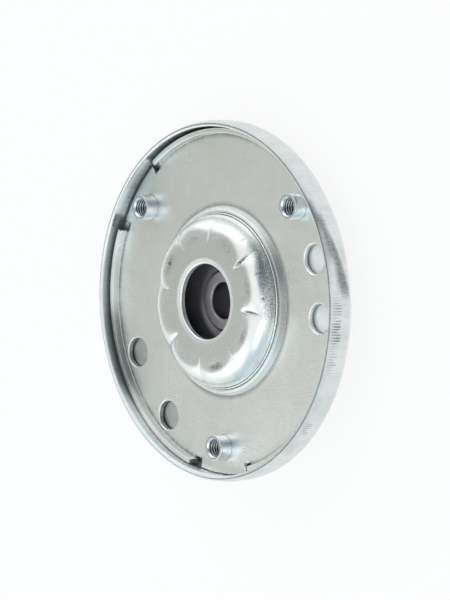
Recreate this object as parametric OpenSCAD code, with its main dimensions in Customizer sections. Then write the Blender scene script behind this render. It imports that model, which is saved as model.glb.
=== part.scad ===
// Strut top mount: round zinc-plated pressings round a crimped can that holds a rubber bush.
// The mount's axis is +Z and the side that meets the car body faces up. The part lies on
// the flat base of its can, and the origin is on the axis at that base.

/* [Pan] */
// Outer diameter of the pan's rim
pan_d = 146; // [138:1:170]
// Height of the rim, from the pan's rear face to the rim's edge
rim_h = 12.7; // [11:0.1:16]
// Sheet thickness of the pan
pan_t = 2; // [1.6:0.1:2.6]
// Height of the upper part of the rim that curves inward
rim_lean_h = 4.9; // [2:0.1:5.5]
// Radius of that curve
rim_lean_r = 10; // [8:0.5:20]
// Outer radius of the bend between the pan's floor and its rim
pan_bend_r = 4.8; // [3:0.1:5.4]
// Wall of the neck that the pan has round its middle opening
neck_t = 0.6; // [0.5:0.1:1.2]
// Height of the neck above the front plate's face
neck_h = 3; // [2:0.1:4]
// Radius of the bend from the pan's rear face into the neck
neck_bend_r = 2; // [1.5:0.1:3]

/* [Front plate] */
// Sheet thickness of the front plate
plate_t = 2; // [1.6:0.1:3]
// Gap between the pan's floor and the front plate
plate_gap = 1.6; // [1.4:0.1:3]
// Height of the plate's turned-up lip above the plate's face
lip_h = 3; // [2:0.1:5]
// Gap between the lip and the rim
lip_gap = 1.2; // [0.8:0.1:3]
// Inner radius of the bend between the plate and its lip
lip_bend_r = 0.8; // [0.5:0.1:2]
// Gap between the rim and the flat tongues outside the bosses
tongue_gap = 0.6; // [0.4:0.1:1.5]
// Depth by which the press sinks each face of a tongue below the plate's face
tongue_sink = 0.1; // [0.05:0.05:0.3]
// Angle from a boss to the relief notch on each side of it
relief_angle = 13.3; // [11:0.1:16]
// Width of a relief notch
relief_w = 3.8; // [2.5:0.1:5]
// Depth of a relief notch, inward from the lip's outer face
relief_depth = 3.5; // [3:0.1:6]
// Height of the collar round the middle opening, above the plate's face
collar_h = 2.4; // [1.5:0.1:3.5]
// Width of the collar's level edge
collar_t = 1; // [0.6:0.1:1.6]
// Slope of the collar's outer side, in degrees from level
collar_slope = 62; // [45:1:75]

/* [Plain holes] */
// Diameter of the plain holes in the front plate
hole_d = 11.6; // [8:0.1:13]
// Radius of the rounded edge of those holes
hole_edge_r = 0.7; // [0.3:0.1:1]
// Distance from the rim's outer face to the centres of the left pair
left_hole_inset = 12.8; // [12:0.1:16]
// Distance from the rim's outer face to the centres of the right pair
right_hole_inset = 15.2; // [12:0.1:18]
// Directions of the left pair, in degrees
left_hole_angles = [199, 229.7];
// Directions of the right pair, in degrees
right_hole_angles = [14.5, -9];

/* [Threaded bosses] */
// Distance from the rim's outer face to the bosses' axes
boss_inset = 13.5; // [12.5:0.1:18]
// Directions of the bosses, in degrees
boss_angles = [36.8, 137.7, 265.2];
// Outer diameter of a boss
boss_d = 10.4; // [9.6:0.1:12]
// Height of a boss above the plate's face
boss_h = 5.4; // [3:0.1:8]
// Diameter of the thread's crest, for an M8 screw
thread_d = 6.8; // [5:0.1:7.4]
// Diameter of the flange that holds a boss under the plate
boss_flange_d = 14.4; // [13.2:0.1:17]
// Thickness of that flange
boss_flange_t = 1.1; // [0.8:0.1:1.2]
// Chamfer at both edges of a boss's end
boss_chamfer = 0.5; // [0.2:0.1:0.8]

/* [Crimped can] */
// Outer diameter of the can's wall
can_d = 70; // [64:1:76]
// Sheet thickness of the can
can_t = 2; // [1.5:0.1:2.5]
// Depth of the can behind the pan
can_depth = 9; // [8:0.5:14]
// Distance that the can's base stands out past its wall
can_step = 7; // [5:0.5:9]
// Outer radius of the bend round the can's base
can_bend_r = 4; // [3:0.1:6]
// Diameter of the hole in the can's base
base_hole_d = 44; // [36:1:50]
// Height of the dome above the plate's face
dome_h = 10.2; // [9:0.1:14]
// Diameter of the hole in the dome
dome_hole_d = 30.4; // [26:0.1:34]
// Radius of the rounded edge of that hole
dome_edge_r = 1; // [0.4:0.1:1.4]
// Number of folds that the crimp leaves in the dome
fold_count = 8; // [7:1:12]
// Direction of the first fold's middle, in degrees
fold_turn = 10.6; // [0:0.1:45]
// Distance of the folds' centres from the axis
fold_offset = 15.5; // [13:0.1:17]
// Radius of the folds' rounded shoulders
fold_shoulder_r = 7.3; // [5:0.1:7.5]
// Height by which a fold's shoulder would pass the dome's flat top
fold_rise = 0.2; // [0.1:0.1:0.5]
// Radius of the rounded shoulder that the folds leave bare between them
valley_shoulder_r = 9; // [8.5:0.1:10]
// Depth of the valleys between the folds, below the dome's top
valley_drop = 0.4; // [0.2:0.1:0.8]

/* [Bush and sleeve] */
// Outer diameter of the inner sleeve
sleeve_d = 25; // [21:0.5:27]
// Bore of the inner sleeve, for an M14 piston rod
sleeve_bore_d = 14.4; // [12:0.1:16.5]
// Depth of the sleeve's seat below the dome's top
sleeve_drop = 9.8; // [8:0.1:11]
// Height of the sleeve's lower end above the can's base
sleeve_foot = 1; // [0.5:0.1:4]
// Chamfer at the sleeve's edges
sleeve_chamfer = 0.6; // [0.3:0.1:1]
// Distance that the sleeve's flange stands out in the rubber
core_w = 11; // [8:0.5:13]
// Thickness of the sleeve's flange
core_t = 2.5; // [2:0.1:3.5]
// Thickness of the rubber under the sleeve's flange
rubber_under = 4.2; // [3:0.1:6]
// Depth of the rubber's top below the sleeve's seat
rubber_drop = 1.4; // [0.6:0.1:2]
// Rise of the rubber's top from the sleeve to the can's wall
rubber_rise = 2.2; // [0:0.1:2.5]
// Width of the rubber's level top next to the sleeve
rubber_land = 3; // [1:0.1:5]

/* [Fits] */
// Clearance between round faces of different pieces
fit_gap = 0.3; // [0.2:0.05:0.5]

/* [Hidden] */
$fn = 96;

zinc = "#c6cac5";
bright_zinc = "#d3dad9";
black_rubber = "#1b1b1c";
grey_steel = "#77747a";

// How far a cutting shape passes the face that it cuts
over = 1;

// Levels along the axis
floor_z = can_depth + pan_t;
plate_rear_z = floor_z + plate_gap;
plate_z = plate_rear_z + plate_t;
rim_z = can_depth + rim_h;
lip_z = plate_z + lip_h;
neck_z = plate_z + neck_h;
collar_z = plate_z + collar_h;
dome_z = plate_z + dome_h;
valley_z = dome_z - valley_drop;
sleeve_z = dome_z - sleeve_drop;
core_z = can_t + rubber_under;
rubber_z = sleeve_z - rubber_drop;

// Radii from the axis outward
sleeve_r = sleeve_d / 2;
core_r = sleeve_r + core_w;
can_r = can_d / 2;
can_base_r = can_r + can_step;
can_inner_r = can_r - can_t;
neck_inner_r = can_r + fit_gap;
neck_outer_r = neck_inner_r + neck_t;
collar_inner_r = neck_outer_r + fit_gap;
collar_top_r = collar_inner_r + collar_t;
collar_foot_r = collar_top_r + collar_h / tan(collar_slope);
rim_r = pan_d / 2;
rim_inner_r = rim_r - pan_t;
lip_r = rim_inner_r - lip_gap;
lip_inner_r = lip_r - plate_t;
tongue_r = rim_inner_r - tongue_gap;
boss_circle_r = rim_r - boss_inset;

// Waste outside a rounded corner at p, for a corner that points up and right when turn is 0
module corner_cut(p, r, turn) {
    translate(p)
        rotate(turn)
            difference() {
                translate([-r, -r]) square(r + over);
                translate([-r, -r]) circle(r);
            }
}

// Fillet in a corner at p that opens up and right when turn is 0
module corner_fill(p, r, turn) {
    translate(p)
        rotate(turn)
            difference() {
                translate([-over / 2, -over / 2]) square(r + over / 2);
                translate([r, r]) circle(r);
            }
}

// Half section of a disc with radius r from z0 to z1, its lower edge rounded by bend
module dish_section(r, z0, z1, bend) {
    difference() {
        translate([0, z0]) square([r, z1 - z0]);
        corner_cut([r, z0], bend, 270);
    }
}

// Places its children at each boss, turned to face outward
module at_bosses() {
    for (angle = boss_angles)
        rotate(angle) children();
}

// Half section of a disc with a rounded lower edge, whose wall curves inward towards the rim's edge
module leaning_section(r, z0, z1, bend) {
    difference() {
        dish_section(r, z0, z1, bend);
        corner_cut([r, rim_z - rim_lean_h + rim_lean_r], rim_lean_r, 0);
    }
}

// Pan: pressed floor, a rim that stands up round it and a neck drawn up round the can
module pan_section() {
    difference() {
        union() {
            difference() {
                leaning_section(rim_r, can_depth, rim_z, pan_bend_r);
                leaning_section(rim_inner_r, floor_z, rim_z + over, pan_bend_r - pan_t);
            }
            square([neck_outer_r, neck_z]);
            corner_fill([neck_outer_r, floor_z], min(neck_bend_r, plate_gap - fit_gap), 0);
        }
        square([neck_inner_r, neck_z + over]);
        translate([0, -over]) square([rim_r, can_depth + over]);
        corner_cut([neck_inner_r, can_depth], neck_bend_r, 180);
    }
}

module rear_pan() {
    color(bright_zinc)
        rotate_extrude() pan_section();
}

// Front plate before its holes: sloping collar, flat ring and turned-up lip in one section
module plate_section() {
    difference() {
        union() {
            difference() {
                dish_section(lip_r, plate_rear_z, lip_z, plate_t);
                dish_section(lip_inner_r, plate_z, lip_z + over, lip_bend_r);
            }
            polygon([
                [0, plate_rear_z],
                [0, collar_z],
                [collar_top_r, collar_z],
                [collar_foot_r, plate_z],
                [collar_foot_r, plate_rear_z]
            ]);
        }
        square([collar_inner_r, collar_z + over]);
        corner_cut([collar_inner_r, plate_rear_z], plate_t / 2, 180);
    }
}

// Ring sector outside a boss, from r0 to r1 and z0 to z1, that spans half degrees on each side
module boss_sector(half, r0, r1, z0, z1) {
    rotate(-half)
        rotate_extrude(angle = 2 * half)
            translate([r0, z0]) square([r1 - r0, z1 - z0]);
}

// Slot with a round inner end that frees the lip beside a boss
module relief_notch() {
    end_r = lip_r - relief_depth + relief_w / 2;
    translate([0, 0, plate_rear_z - over]) {
        translate([end_r, 0, 0]) cylinder(h = lip_z - plate_rear_z + 2 * over, d = relief_w);
        translate([end_r, -relief_w / 2, 0]) cube([pan_d, relief_w, lip_z - plate_rear_z + 2 * over]);
    }
}

// Plain hole whose upper edge is rounded
module plain_hole(inset) {
    translate([rim_r - inset, 0, 0])
        rotate_extrude() {
            translate([0, plate_rear_z - over]) square([hole_d / 2, plate_t + 2 * over]);
            corner_cut([hole_d / 2, plate_z], hole_edge_r, 90);
        }
}

module front_plate() {
    tongue_start = lip_inner_r - lip_bend_r - tongue_sink;
    tongue_t = plate_t - 2 * tongue_sink;
    notch_half = asin(relief_w / 3 / lip_r);
    color(zinc)
        difference() {
            union() {
                difference() {
                    rotate_extrude() plate_section();
                    at_bosses()
                        boss_sector(relief_angle + notch_half, tongue_start, rim_r, 0, lip_z + over);
                }
                at_bosses()
                    translate([0, 0, plate_rear_z + tongue_sink])
                        boss_sector(relief_angle - notch_half, tongue_start - over, tongue_r, 0, tongue_t);
            }
            at_bosses()
                for (side = [-1, 1])
                    rotate(side * relief_angle) relief_notch();
            for (angle = left_hole_angles)
                rotate(angle) plain_hole(left_hole_inset);
            for (angle = right_hole_angles)
                rotate(angle) plain_hole(right_hole_inset);
            at_bosses()
                translate([boss_circle_r, 0, plate_rear_z - over])
                    cylinder(h = plate_t + 2 * over, d = boss_d + 2 * fit_gap);
        }
}

// Threaded boss: its flange bears on the rear of the plate and its body stands through it
module weld_nut() {
    flange_z = plate_rear_z - boss_flange_t;
    end_z = plate_z + boss_h;
    difference() {
        union() {
            translate([0, 0, flange_z]) cylinder(h = boss_flange_t, d = boss_flange_d);
            translate([0, 0, flange_z]) cylinder(h = end_z - boss_chamfer - flange_z, d = boss_d);
            translate([0, 0, end_z - boss_chamfer])
                cylinder(h = boss_chamfer, d1 = boss_d, d2 = boss_d - 2 * boss_chamfer);
        }
        translate([0, 0, flange_z - over]) cylinder(h = end_z - flange_z + 2 * over, d = thread_d);
        translate([0, 0, end_z - boss_chamfer])
            cylinder(h = boss_chamfer + over, d1 = thread_d, d2 = thread_d + 2 * (boss_chamfer + over));
    }
}

module weld_nuts() {
    color(bright_zinc)
        at_bosses()
            translate([boss_circle_r, 0, 0]) weld_nut();
}

// Half section of the can as a solid body, offset inward by wall, without the folds
module can_section(wall) {
    top_z = valley_z - wall;
    base_r = can_base_r - wall;
    difference() {
        dish_section(base_r, wall, can_depth - wall, can_bend_r - wall);
        corner_cut([base_r, can_depth - wall], can_bend_r / 2, 0);
    }
    difference() {
        translate([0, wall]) square([can_r - wall, top_z - wall]);
        corner_cut([can_r - wall, top_z], valley_shoulder_r - wall, 0);
    }
}

// One fold: a round-shouldered lobe set off the axis, just inside the can's wall at its foot.
// It rises to a low point above the dome's top, where the flat top is cut
module fold_lobe() {
    lobe_r = can_r - fold_offset - fit_gap / 2;
    foot_z = valley_z - valley_shoulder_r;
    crest_z = dome_z + fold_rise;
    translate([fold_offset, 0, 0])
        rotate_extrude() {
            difference() {
                translate([0, foot_z]) square([lobe_r, crest_z - foot_z]);
                corner_cut([lobe_r, crest_z], fold_shoulder_r, 0);
            }
            polygon([[0, foot_z], [lobe_r - fold_shoulder_r, crest_z], [0, crest_z + over]]);
        }
}

module crimped_can() {
    color(bright_zinc)
        difference() {
            union() {
                rotate_extrude() can_section(0);
                for (i = [0 : fold_count - 1])
                    rotate(fold_turn + i * 360 / fold_count) fold_lobe();
            }
            translate([0, 0, dome_z]) cylinder(h = fold_rise + 2 * over, r = can_r);
            rotate_extrude() can_section(can_t);
            rotate_extrude() {
                translate([0, can_depth]) square([dome_hole_d / 2, dome_z]);
                corner_cut([dome_hole_d / 2, dome_z], dome_edge_r, 90);
            }
            rotate_extrude() {
                translate([0, -over]) square([base_hole_d / 2, can_depth]);
                corner_cut([base_hole_d / 2, 0], can_t / 2, 180);
            }
        }
}

// Rubber: fills the can below the dome and grips the sleeve's flange
module rubber_section() {
    wide_r = can_base_r - can_t - fit_gap;
    wide_z = can_depth - can_t - fit_gap;
    narrow_r = can_inner_r - fit_gap;
    bore_r = sleeve_r + fit_gap;
    difference() {
        union() {
            difference() {
                dish_section(wide_r, can_t, wide_z, can_bend_r - can_t + fit_gap);
                corner_cut([wide_r, wide_z], can_bend_r / 2, 0);
            }
            polygon([
                [bore_r, can_t],
                [narrow_r, can_t],
                [narrow_r, rubber_z + rubber_rise],
                [bore_r + rubber_land, rubber_z],
                [bore_r, rubber_z]
            ]);
        }
        square([bore_r, dome_z]);
        translate([0, core_z]) square([core_r + fit_gap, core_t]);
    }
}

module rubber_bush() {
    color(black_rubber)
        rotate_extrude() rubber_section();
}

// Steel sleeve that the rod's nut clamps, with a flange that the rubber holds
module sleeve_section() {
    bore_r = sleeve_bore_d / 2;
    c = sleeve_chamfer;
    polygon([
        [bore_r, sleeve_foot + c],
        [bore_r + c, sleeve_foot],
        [sleeve_r - c, sleeve_foot],
        [sleeve_r, sleeve_foot + c],
        [sleeve_r, core_z],
        [core_r, core_z],
        [core_r, core_z + core_t],
        [sleeve_r, core_z + core_t],
        [sleeve_r, sleeve_z - c],
        [sleeve_r - c, sleeve_z],
        [bore_r + c, sleeve_z],
        [bore_r, sleeve_z - c]
    ]);
}

module inner_sleeve() {
    color(grey_steel)
        rotate_extrude() sleeve_section();
}

rear_pan();
front_plate();
weld_nuts();
crimped_can();
rubber_bush();
inner_sleeve();
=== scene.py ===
import math

import bpy
import numpy as np
from mathutils import Matrix, Vector
from mathutils.geometry import delaunay_2d_cdt


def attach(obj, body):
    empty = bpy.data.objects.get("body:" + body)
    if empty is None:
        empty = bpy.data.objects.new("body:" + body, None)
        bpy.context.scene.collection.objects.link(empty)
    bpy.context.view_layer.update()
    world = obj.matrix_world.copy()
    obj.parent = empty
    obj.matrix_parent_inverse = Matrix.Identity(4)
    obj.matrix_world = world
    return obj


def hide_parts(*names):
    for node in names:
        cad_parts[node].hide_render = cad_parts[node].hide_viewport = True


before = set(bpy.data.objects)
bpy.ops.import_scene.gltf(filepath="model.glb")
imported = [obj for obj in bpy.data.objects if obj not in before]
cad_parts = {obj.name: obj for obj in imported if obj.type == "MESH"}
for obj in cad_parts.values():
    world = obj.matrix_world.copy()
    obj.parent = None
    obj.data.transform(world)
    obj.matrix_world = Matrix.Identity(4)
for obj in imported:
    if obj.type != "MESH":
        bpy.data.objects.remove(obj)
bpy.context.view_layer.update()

MM = 0.001
TAU = 2 * math.pi
RNG = np.random.default_rng(7)

# Sizes in millimetres. Most are those of the part's source. The pan's floor, the rim's edge face, the lip's
# bend, and the bosses' flange and mouth follow the photograph more closely

PAN_T = 2.0
PAN_REAR_Z = 9.0
FLOOR_Z = 12.0
RIM_R = 73.0
RIM_IN = RIM_R - PAN_T
RIM_Z = 21.7
RIM_LEAN_OUT_Z = 19.4
RIM_LEAN_IN_Z = 19.2
RIM_EDGE_OUT = 71.7
RIM_EDGE_IN = 70.2
NECK_IN = 35.15
NECK_OUT = 35.75
NECK_Z = 17.6

PLATE_Z = 14.6
PLATE_T = 2.0
LIP_IN_R = 67.8
LIP_BEND = 0.25
LIP_H = 3.0
TONGUE_R = 70.2
NOTCH_ANGLE = math.radians(13.3)
NOTCH_HALF_W = 1.9
NOTCH_END = 68.4
COLLAR_START = 38.6
COLLAR_H = 2.4
COLLAR_EDGE_T = 1.1
HOLE_R = 5.8
LEFT_HOLES = [(60.2, 199.0), (60.2, 229.7)]
RIGHT_HOLES = [(57.8, 14.5), (57.8, -9.0)]

BOSS_CIRCLE = 59.5
BOSS_ANGLES = np.radians([36.8, 137.7, 265.2])
BOSS_R = 5.2
BOSS_TOP = 20.0
BOSS_LOW = 12.05
BOSS_FLANGE_R = 7.2
BOSS_FLANGE_Z = 12.55
BOSS_CHAMFER = 0.6
BOSS_FIT = 0.04
THREAD_PITCH = 1.25
THREAD_CREST = 3.35
THREAD_DEPTH = 0.72

CAN_R = 35.0
CAN_T = 2.0
CAN_BASE_R = 42.0
CAN_OPENING_R = 22.0
DOME_Z = 24.8
DOME_HOLE_R = 15.2
DOME_DROP = 7.4
DOME_FLAT_R = 27.6
DOME_FLAT_CROWN = 0.6
DOME_INNER_R = 27.0
DOME_INNER_DROP = 6.6

SLEEVE_R = 12.5
SLEEVE_BORE = 7.2
SLEEVE_Z = 15.0
SLEEVE_FOOT = 1.0
SLEEVE_CHAMFER = 0.6
FLANGE_R = 23.5
FLANGE_Z = 6.2
FLANGE_T = 2.5
BUSH_GAP = 0.3
BUSH_STEP_Z = 6.7
BUSH_OUTER_Z = 15.8
BUSH_INNER_Z = 13.6
BUSH_INNER_R = 15.8


def linear(colour):
    """Linear RGBA of an sRGB hex colour."""
    c = np.array([int(colour[i:i + 2], 16) for i in (1, 3, 5)]) / 255
    c = np.where(c <= 0.04045, c / 12.92, ((c + 0.055) / 1.055) ** 2.4)
    return (*map(float, c), 1.0)


def smooth(low, high, x):
    """Smooth step: 0 at low and before it, 1 at high and past it, and a cubic between them."""
    t = np.clip((x - low) / (high - low), 0, 1)
    return t * t * (3 - 2 * t)


def band(x, begins, full, fades, gone):
    """1 from full to fades, with a smooth step up from begins and one down to gone."""
    return smooth(begins, full, x) * smooth(gone, fades, x)


def bell(x, middle, width):
    """Bell curve: e to the power of minus the square of the distance from the middle, counted in widths."""
    return np.exp(-((x - middle) / width) ** 2)


def polar(radius, angle):
    """Point in the plane at a radius and an angle."""
    return radius * np.array([math.cos(angle), math.sin(angle)])


def ripple(angle, waves, low, high):
    """Sum of sine waves round a circle, whole numbers of them from low to high, about 1 in size."""
    counts = RNG.integers(low, high, waves)
    phases = RNG.uniform(0, TAU, waves)
    return sum(np.sin(n * angle + p) for n, p in zip(counts, phases)) / math.sqrt(waves / 2)


def outline(corners, step):
    """Points along straight lines from corner to corner (r, z, radius), each corner an arc of its radius.

    The lines are cut into lengths of about step, one for all of them or one for the line after each corner,
    and an arc into steps of about 15 degrees.
    """
    arc_step = 0.26
    c = np.array(corners, float)
    arcs = []
    for here, before, after in zip(c, np.roll(c, 1, 0), np.roll(c, -1, 0)):
        p, radius = here[:2], here[2]
        a = (before[:2] - p) / np.linalg.norm(before[:2] - p)
        b = (after[:2] - p) / np.linalg.norm(after[:2] - p)
        half = math.acos(np.clip(a @ b, -1, 1)) / 2
        middle = p + (a + b) / np.linalg.norm(a + b) * radius / math.sin(half)
        start, end = (p + v * radius / math.tan(half) - middle for v in (a, b))
        turn = math.atan2(start[0] * end[1] - start[1] * end[0], start @ end)
        t = np.linspace(0, turn, max(3, round(abs(turn) / arc_step) + 1))[:, None]
        arcs.append(middle + start * np.cos(t) + np.array([-start[1], start[0]]) * np.sin(t))
    path = []
    for arc, following, length in zip(arcs, arcs[1:] + arcs[:1], np.broadcast_to(step, len(arcs))):
        gap = following[0] - arc[-1]
        cuts = max(1, round(np.linalg.norm(gap) / length))
        path += [arc, arc[-1] + gap * np.linspace(0, 1, cuts + 1)[1:-1, None]]
    return np.vstack(path)


def even_turn(count):
    """Column of evenly spaced angles once round a circle."""
    return np.linspace(0, TAU, count, endpoint=False)[:, None]


def crowded_turn(weight, count):
    """Column of angles once round a circle that stand closer together where their weight is larger."""
    samples = 20001
    even = np.linspace(-math.pi, math.pi, samples)
    total = np.cumsum(weight(even))
    return np.interp(np.linspace(total[0], total[-1], count, endpoint=False), total, even)[:, None]


def turned(r, z, angle):
    """Grid of points of a profile carried round the axis: (r cos a, r sin a, z)."""
    return np.stack(np.broadcast_arrays(r * np.cos(angle), r * np.sin(angle), z), -1)


def ring_faces(rows, columns, start=0):
    """Quads of a grid of points that closes on itself in both directions."""
    i, j = np.meshgrid(np.arange(rows), np.arange(columns), indexing="ij")
    k, l = (i + 1) % rows, (j + 1) % columns
    quads = np.stack([i * columns + j, k * columns + j, k * columns + l, i * columns + l], -1)
    return quads.reshape(-1, 4) + start


def piece(name, points, faces, node, material, marks):
    """Closed mesh of points in millimetres, its faces turned outward, that stands for a CAD node.

    Its volume is the sum of the signed tetrahedra from the origin to each face, and a negative one turns
    every face. marks gives named values for each point, which the material reads.
    """
    flat = points.reshape(-1, 3)
    triangles = np.vstack([f[:, [0, k, k + 1]] for f in faces for k in range(1, f.shape[1] - 1)])
    a, b, c = (flat[triangles[:, k]] for k in range(3))
    if np.einsum("ij,ij->", a, np.cross(b, c)) < 0:
        faces = [f[:, ::-1] for f in faces]
    mesh = bpy.data.meshes.new(name)
    mesh.vertices.add(len(flat))
    mesh.vertices.foreach_set("co", (flat * MM).ravel())
    sides = np.concatenate([np.full(len(f), f.shape[1]) for f in faces])
    mesh.loops.add(int(sides.sum()))
    mesh.loops.foreach_set("vertex_index", np.concatenate([f.ravel() for f in faces]).astype(np.int32))
    mesh.polygons.add(len(sides))
    mesh.polygons.foreach_set("loop_start", (np.cumsum(sides) - sides).astype(np.int32))
    mesh.polygons.foreach_set("use_smooth", np.ones(len(sides), bool))
    for label, values in marks.items():
        kept = mesh.attributes.new(label, "FLOAT", "POINT")
        kept.data.foreach_set("value", values.ravel().astype(np.float32))
    mesh.update(calc_edges=True)
    mesh.validate()
    mesh.materials.append(material)
    obj = bpy.data.objects.new(name, mesh)
    bpy.context.scene.collection.objects.link(obj)
    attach(obj, "root")
    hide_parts(node)
    return obj


# Materials

def add(tree, kind, inputs=None, **settings):
    """Adds a node, gives it its settings, and sets or links its inputs."""
    made = tree.nodes.new(kind)
    for key, value in settings.items():
        setattr(made, key, value)
    for key, value in (inputs or {}).items():
        if isinstance(value, bpy.types.NodeSocket):
            tree.links.new(value, made.inputs[key])
        else:
            made.inputs[key].default_value = value
    return made


def blank_material(name):
    """Empty material with its node tree and its output."""
    made = bpy.data.materials.new(name)
    made.use_nodes = True
    tree = made.node_tree
    tree.nodes.clear()
    return made, tree, add(tree, "ShaderNodeOutputMaterial")


def zinc_sheet(name, pale, dark, rough, cloud_mm, grain_mm, grain_depth, streak=(1, 1, 1), scatter=1.0,
               grime_and_shade_tint="#454645", metal=1.0, dulled=True):
    """Zinc plate on pressed steel: a soft mirror with cloudy patches of two tints and a fine crystal grain.

    cloud_mm and grain_mm are the sizes of a patch and of a grain, and grain_depth is the height of the
    grain, which is drawn coarser than real crystals so that it shows. streak stretches both along an axis
    where the press has drawn the sheet. metal is the share of light that is mirrored as by bare metal, and
    the crystals scatter the rest. Where a dulled sheet has the attribute dull, that share is lower. Where its
    wear attribute is set, the plating is rougher and takes the darker tint given for grime and shade, in
    specks where scatter is 1 and evenly where it is 0. That attribute holds real wear and, on some pieces,
    painted shade.
    """
    share_lost, roughness_gained = 0.6, 0.18
    made, tree, out = blank_material(name)
    place = add(tree, "ShaderNodeTexCoord").outputs["Object"]
    drawn = add(tree, "ShaderNodeMapping", {"Vector": place, "Scale": streak}).outputs[0]
    cloud = add(tree, "ShaderNodeTexNoise", {
        "Vector": drawn, "Scale": 1 / (cloud_mm * MM), "Detail": 5.0, "Roughness": 0.6, "Distortion": 0.4})
    cloud = cloud.outputs["Fac"]
    grain = add(tree, "ShaderNodeTexNoise", {
        "Vector": drawn, "Scale": 1 / (grain_mm * MM), "Detail": 3.0, "Roughness": 0.7})
    grain = grain.outputs["Fac"]
    tint = add(tree, "ShaderNodeValToRGB", {"Fac": cloud})
    low, high = tint.color_ramp.elements
    low.position, high.position = 0.34, 0.66
    low.color, high.color = linear(dark), linear(pale)
    # Wear attribute: real wear, and on the plate, pan and dome also painted shade in recesses, corners and
    # creases
    worn_or_painted = add(tree, "ShaderNodeAttribute", attribute_name="wear_or_painted_light").outputs["Fac"]
    speckle = add(tree, "ShaderNodeMapRange", {
        "Value": grain, "From Min": 0.42, "From Max": 0.58, "To Min": 1 - scatter})
    grime_or_shade = add(tree, "ShaderNodeMath", {0: worn_or_painted, 1: speckle.outputs[0]}, operation="MULTIPLY")
    colour = add(tree, "ShaderNodeMix", {
        "Factor": grime_or_shade.outputs[0], 6: tint.outputs["Color"], 7: linear(grime_and_shade_tint)}, data_type="RGBA")
    gloss = add(tree, "ShaderNodeMapRange", {
        "Value": cloud, "From Min": 0.3, "From Max": 0.7, "To Min": rough * 1.25, "To Max": rough * 0.8})
    gloss = add(tree, "ShaderNodeMath", {0: worn_or_painted, 1: roughness_gained, 2: gloss.outputs[0]},
                operation="MULTIPLY_ADD")
    mirrored = metal
    if dulled:
        dull = add(tree, "ShaderNodeAttribute", attribute_name="dull").outputs["Fac"]
        lowered = add(tree, "ShaderNodeMath", {0: dull, 1: -share_lost, 2: metal}, operation="MULTIPLY_ADD")
        mirrored = lowered.outputs[0]
    bump = add(tree, "ShaderNodeBump", {"Height": grain, "Distance": grain_depth * MM, "Strength": 1.0})
    shader = add(tree, "ShaderNodeBsdfPrincipled", {
        "Base Color": colour.outputs[2], "Metallic": mirrored, "Roughness": gloss.outputs[0],
        "Normal": bump.outputs[0]})
    tree.links.new(shader.outputs[0], out.inputs["Surface"])
    return made


def moulded_rubber():
    """Black bush rubber from a mould: matt, with a fine eroded texture, and painted lighter grey where its
    wear attribute is set, a painted highlight where light falls on the bush.
    """
    grit_mm, bloom_mm, grit_depth = 0.5, 6, 0.05
    made, tree, out = blank_material("black_moulded_rubber")
    place = add(tree, "ShaderNodeTexCoord").outputs["Object"]
    grit = add(tree, "ShaderNodeTexNoise", {"Vector": place, "Scale": 1 / (grit_mm * MM), "Detail": 4.0})
    bloom = add(tree, "ShaderNodeTexNoise", {"Vector": place, "Scale": 1 / (bloom_mm * MM), "Detail": 3.0})
    tint = add(tree, "ShaderNodeValToRGB", {"Fac": bloom.outputs["Fac"]})
    low, high = tint.color_ramp.elements
    low.color, high.color = linear("#343334"), linear("#5c595d")
    # The lighter grey mixed in here is painted light, where light falls on the land beside the sleeve
    worn_or_painted = add(tree, "ShaderNodeAttribute", attribute_name="wear_or_painted_light").outputs["Fac"]
    colour = add(tree, "ShaderNodeMix", {"Factor": worn_or_painted, 6: tint.outputs["Color"], 7: linear("#a39ba1")},
                 data_type="RGBA")
    bump = add(tree, "ShaderNodeBump", {
        "Height": grit.outputs["Fac"], "Distance": grit_depth * MM, "Strength": 1.0})
    shader = add(tree, "ShaderNodeBsdfPrincipled", {
        "Base Color": colour.outputs[2], "Roughness": 0.62, "IOR": 1.52, "Normal": bump.outputs[0]})
    tree.links.new(shader.outputs[0], out.inputs["Surface"])
    return made


def phosphated_steel():
    """Grey manganese phosphate on turned steel: dull, with the lathe's rings.

    Its wear attribute darkens it: painted shade in the bore and at the seam with the rubber.
    """
    ring_mm, cloud_mm, ring_depth = 0.35, 3, 0.03
    made, tree, out = blank_material("grey_phosphated_steel")
    place = add(tree, "ShaderNodeTexCoord").outputs["Object"]
    flat = add(tree, "ShaderNodeVectorMath", {0: place, 1: (1, 1, 0)}, operation="MULTIPLY").outputs[0]
    radius = add(tree, "ShaderNodeVectorMath", {0: flat}, operation="LENGTH").outputs["Value"]
    rings = add(tree, "ShaderNodeTexNoise", {"W": radius, "Scale": 1 / (ring_mm * MM), "Detail": 2.0},
                noise_dimensions="1D")
    cloud = add(tree, "ShaderNodeTexNoise", {"Vector": place, "Scale": 1 / (cloud_mm * MM), "Detail": 4.0})
    tint = add(tree, "ShaderNodeValToRGB", {"Fac": cloud.outputs["Fac"]})
    low, high = tint.color_ramp.elements
    low.color, high.color = linear("#98959a"), linear("#bdbabc")
    # The dark grey mixed in here is painted shade in the sleeve's bore and at its seam with the rubber
    worn_or_painted = add(tree, "ShaderNodeAttribute", attribute_name="wear_or_painted_light").outputs["Fac"]
    colour = add(tree, "ShaderNodeMix", {"Factor": worn_or_painted, 6: tint.outputs["Color"], 7: linear("#3c3a3c")},
                 data_type="RGBA")
    bump = add(tree, "ShaderNodeBump", {
        "Height": rings.outputs["Fac"], "Distance": ring_depth * MM, "Strength": 0.8})
    shader = add(tree, "ShaderNodeBsdfPrincipled", {
        "Base Color": colour.outputs[2], "Metallic": 0.9, "Roughness": 0.46, "Normal": bump.outputs[0]})
    tree.links.new(shader.outputs[0], out.inputs["Surface"])
    return made


# The darker tint of the plate, rim and dome sheets serves both grime and painted shade in recesses, corners
# and creases; on the bosses it is oil
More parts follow.
